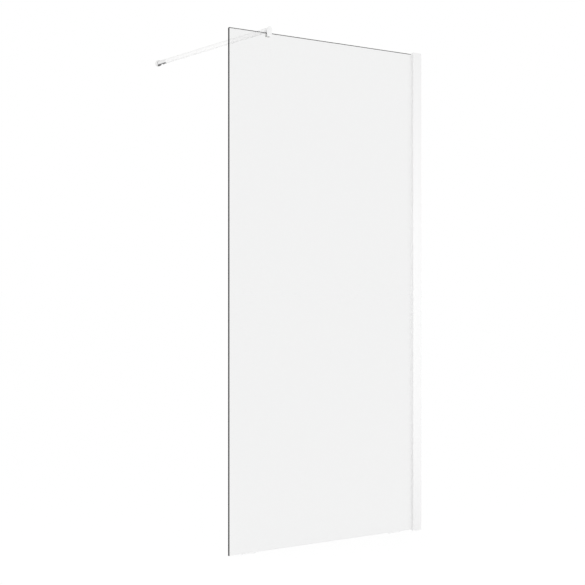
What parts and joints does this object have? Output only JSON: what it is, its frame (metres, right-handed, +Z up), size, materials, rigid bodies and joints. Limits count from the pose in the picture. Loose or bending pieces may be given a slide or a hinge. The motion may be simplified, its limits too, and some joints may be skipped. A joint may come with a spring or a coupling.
{
  "type": "walk-in shower screen",
  "caption": "Walk-in shower screen: a clear glass panel in a white wall profile, held at the top by a clamp and a round support arm to a second wall.",
  "frame": {"origin": "on the wall plane behind the wall channel, at the middle of the glass thickness and at the height of the tray", "axes": "+X into the wall that carries the profile, +Y through the glass to the shower side and along the support arm, +Z up"},
  "size_m": [0.95, 0.88, 2.0212],
  "materials": {
    "white_coat": "satin white powder coat",
    "white_plastic": "moulded satin white plastic",
    "clear_glass": "clear toughened glass with polished edges",
    "pale_gasket": "soft off-white gasket",
    "pale_rubber": "matte pale rubber",
    "dark_rubber": "matte black rubber",
    "clear_plastic": "clear moulded plastic",
    "stainless": "turned stainless steel",
    "base_steel": "dark bare steel",
    "bush_brass": "turned brass",
    "nylon": "natural nylon"
  },
  "bodies": {
    "wall_fixing": {"wall_channel": "white_coat", "channel_locking_screws": "stainless"},
    "glazing": {"glazing_profile": "white_coat", "glass_panel": "clear_glass", "front_gasket": "pale_gasket", "rear_gasket": "pale_gasket", "setting_blocks": "clear_plastic", "top_cap": "white_plastic", "screw_covers": "white_plastic"},
    "arm": {"clamp_body": "white_coat", "clamp_liner": "pale_rubber", "clamp_pressure_plate": "nylon", "clamp_glass_screws": "stainless", "clamp_bar_screw": "stainless", "support_bar": "white_coat", "bar_bush": "bush_brass", "bar_length_screw": "stainless"},
    "arm_end": {"bar_end": "white_coat"},
    "arm_base": {"wall_base": "base_steel", "base_gasket": "dark_rubber", "rosette": "white_coat", "pivot_screw": "stainless", "pivot_washer": "nylon", "pivot_cap": "white_coat"}
  },
  "joints": [
    {"name": "glass_adjust", "type": "slide", "parent": "wall_fixing", "child": "glazing", "axis": [-1, 0, 0], "range_m": [0, 0.01]},
    {"name": "clamp_slide", "type": "slide", "parent": "glazing", "child": "arm", "axis": [1, 0, 0], "range_m": [-0.15, 0.65]},
    {"name": "arm_length", "type": "slide", "parent": "arm", "child": "arm_end", "axis": [0, 1, 0], "range_m": [0, 0.02]},
    {"name": "wall_swivel", "type": "hinge", "parent": "arm_end", "child": "arm_base", "pos_m": [-0.769, 0.814, 2.00815], "axis": [0, 0, 1], "range_deg": [-45, 45]}
  ]
}
